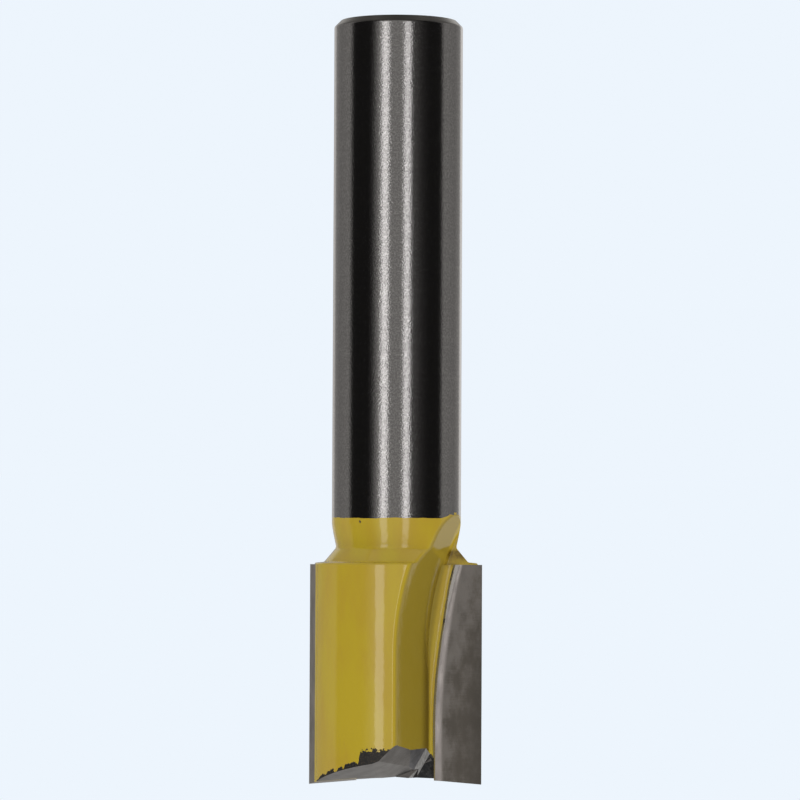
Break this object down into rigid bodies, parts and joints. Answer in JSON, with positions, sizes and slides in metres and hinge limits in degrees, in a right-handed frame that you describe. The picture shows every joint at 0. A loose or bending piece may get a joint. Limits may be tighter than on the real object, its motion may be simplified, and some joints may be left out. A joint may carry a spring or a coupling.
{
  "type": "router bit",
  "caption": "Straight router bit: a ground steel shank, a painted fluted head and brazed carbide cutting tips.",
  "frame": {"origin": "centre of the flat end of the shank, on which the bit stands", "axes": "+Z along the axis towards the cutting end; the two cutting edges lie on the X axis, and the rake face of the tip on the -X side faces -Y"},
  "size_m": [0.016, 0.0152, 0.0711],
  "materials": {
    "painted_steel": "ground bright on the shank, with yellow paint on the neck and head and bare ground facets at the cutting end",
    "carbide": "ground dark grey tungsten carbide with fine grinding marks",
    "braze": "brazing alloy under the yellow paint, with a dark line along the carbide"
  },
  "bodies": {
    "root": {"body": "painted_steel", "front_carbide_tip": "carbide", "back_carbide_tip": "carbide", "front_braze_joint": "braze", "back_braze_joint": "braze"}
  },
  "joints": []
}
